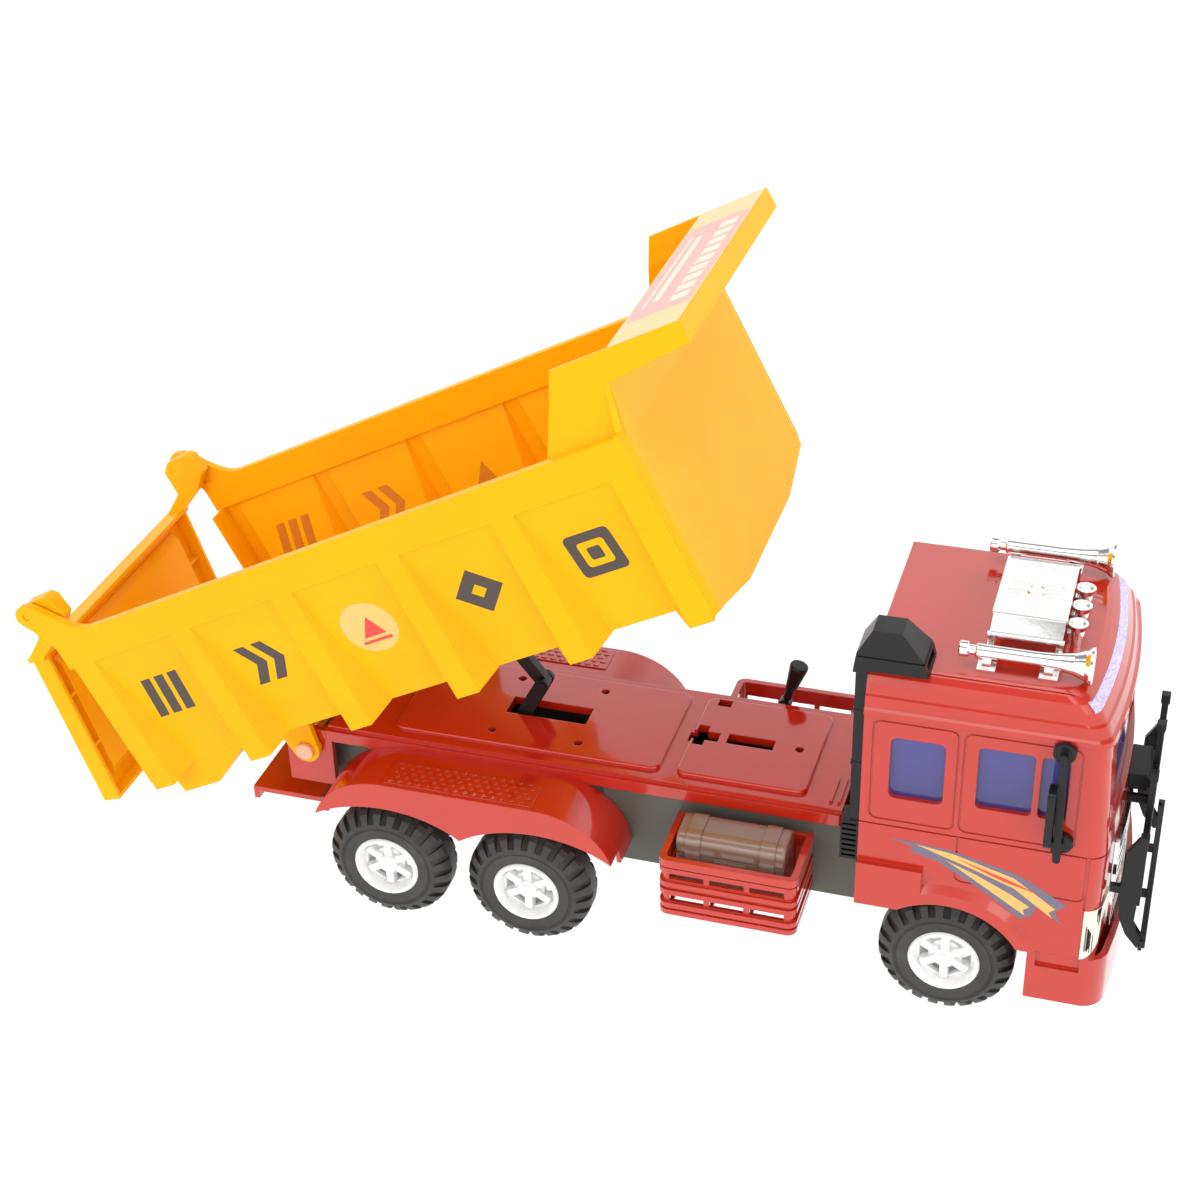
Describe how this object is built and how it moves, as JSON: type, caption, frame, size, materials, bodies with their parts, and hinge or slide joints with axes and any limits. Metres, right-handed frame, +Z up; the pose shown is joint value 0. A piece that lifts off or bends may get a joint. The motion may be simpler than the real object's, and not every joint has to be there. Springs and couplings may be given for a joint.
{
  "type": "toy dump truck",
  "caption": "Toy dump truck with a red cab and deck, a deep ribbed yellow tipping bed, a hinged tailgate, a side lever and rolling wheels.",
  "frame": {"origin": "on the ground under the middle of the overall length, in the centre plane", "axes": "+X forwards, from the tailgate to the cab; +Y to the truck's left; +Z up"},
  "size_m": [0.5924, 0.1816, 0.3842],
  "materials": {
    "red_plastic": "glossy",
    "black_plastic": "satin",
    "yellow_plastic": "glossy",
    "pale_plastic": "glossy",
    "tyre_rubber": "satin",
    "bright_chrome": "polished",
    "blue_tint": "glossy",
    "brown_plastic": "glossy",
    "lilac_foil": "glossy",
    "steel": "satin"
  },
  "bodies": {
    "truck": {"chassis": "black_plastic", "deck": "red_plastic", "deck_screws": "steel", "rear_step": "red_plastic", "rear_fender_right": "red_plastic", "rear_fender_left": "red_plastic", "side_crate_right": "red_plastic", "side_crate_left": "red_plastic", "toolbox": "brown_plastic", "cab_lower": "red_plastic", "cab_upper": "red_plastic", "cab_glazing": "blue_tint", "front_bumper": "red_plastic", "headlight_right": "bright_chrome", "headlight_left": "bright_chrome", "front_grille": "bright_chrome", "bull_bar": "black_plastic", "mirror_right": "black_plastic", "mirror_left": "black_plastic", "snorkel_pipe": "black_plastic", "snorkel_head": "black_plastic", "horn_right": "bright_chrome", "horn_left": "bright_chrome", "roof_intake": "bright_chrome", "visor_strip": "lilac_foil", "bed_pin": "pale_plastic"},
    "bed": {"bed_tub": "yellow_plastic", "lift_bracket": "yellow_plastic", "strut_rivets": "black_plastic"},
    "tailgate": {"tailgate": "yellow_plastic", "tailgate_pins": "yellow_plastic"},
    "lift_arm": {"lift_arm": "black_plastic", "lift_arm_shaft": "steel", "elbow_pin": "black_plastic"},
    "lift_strut": {"lift_strut": "black_plastic"},
    "lever": {"lever_shaft": "steel", "lever_stem": "black_plastic", "lever_knob": "black_plastic"},
    "rear_wheels": {"axle_rear": "steel", "rim_rear_right": "pale_plastic", "rim_rear_left": "pale_plastic", "tyre_rear_right": "tyre_rubber", "tyre_rear_left": "tyre_rubber"},
    "middle_wheels": {"axle_middle": "steel", "rim_middle_right": "pale_plastic", "rim_middle_left": "pale_plastic", "tyre_middle_right": "tyre_rubber", "tyre_middle_left": "tyre_rubber"},
    "front_wheels": {"axle_front": "steel", "rim_front_right": "pale_plastic", "rim_front_left": "pale_plastic", "tyre_front_right": "tyre_rubber", "tyre_front_left": "tyre_rubber"}
  },
  "joints": [
    {"name": "bed_tilt", "type": "hinge", "parent": "truck", "child": "bed", "pos_m": [-0.15805, 0, 0.0865], "axis": [0, -1, 0], "range_deg": [-27.1, 2]},
    {"name": "tailgate_hinge", "type": "hinge", "parent": "bed", "child": "tailgate", "pos_m": [-0.2881, 0, 0.17869], "axis": [0, 1, 0], "range_deg": [-8.5, 50]},
    {"name": "lift_arm_swing", "type": "hinge", "parent": "truck", "child": "lift_arm", "pos_m": [-0.0522, 0, 0.09], "axis": [0, -1, 0], "range_deg": [-86, 7]},
    {"name": "lift_strut_swing", "type": "hinge", "parent": "lift_arm", "child": "lift_strut", "pos_m": [-0.0334, 0, 0.1246], "axis": [0, -1, 0], "range_deg": [-8, 97]},
    {"name": "lever_swing", "type": "hinge", "parent": "truck", "child": "lever", "pos_m": [0.0885, 0.0516, 0.098], "axis": [0, -1, 0], "range_deg": [-74, 6.5]},
    {"name": "rear_axle_spin", "type": "hinge", "parent": "truck", "child": "rear_wheels", "pos_m": [-0.1049, 0, 0.035], "axis": [0, 1, 0], "continuous": true},
    {"name": "middle_axle_spin", "type": "hinge", "parent": "truck", "child": "middle_wheels", "pos_m": [-0.0244, 0, 0.035], "axis": [0, 1, 0], "continuous": true},
    {"name": "front_axle_spin", "type": "hinge", "parent": "truck", "child": "front_wheels", "pos_m": [0.199, 0, 0.035], "axis": [0, 1, 0], "continuous": true}
  ],
  "couplings": [
    {"joint": "lift_arm_swing", "follows": "bed_tilt", "ratio": 3.15},
    {"joint": "lift_strut_swing", "follows": "bed_tilt", "ratio": -3.55},
    {"joint": "lever_swing", "follows": "bed_tilt", "ratio": 2.69}
  ]
}
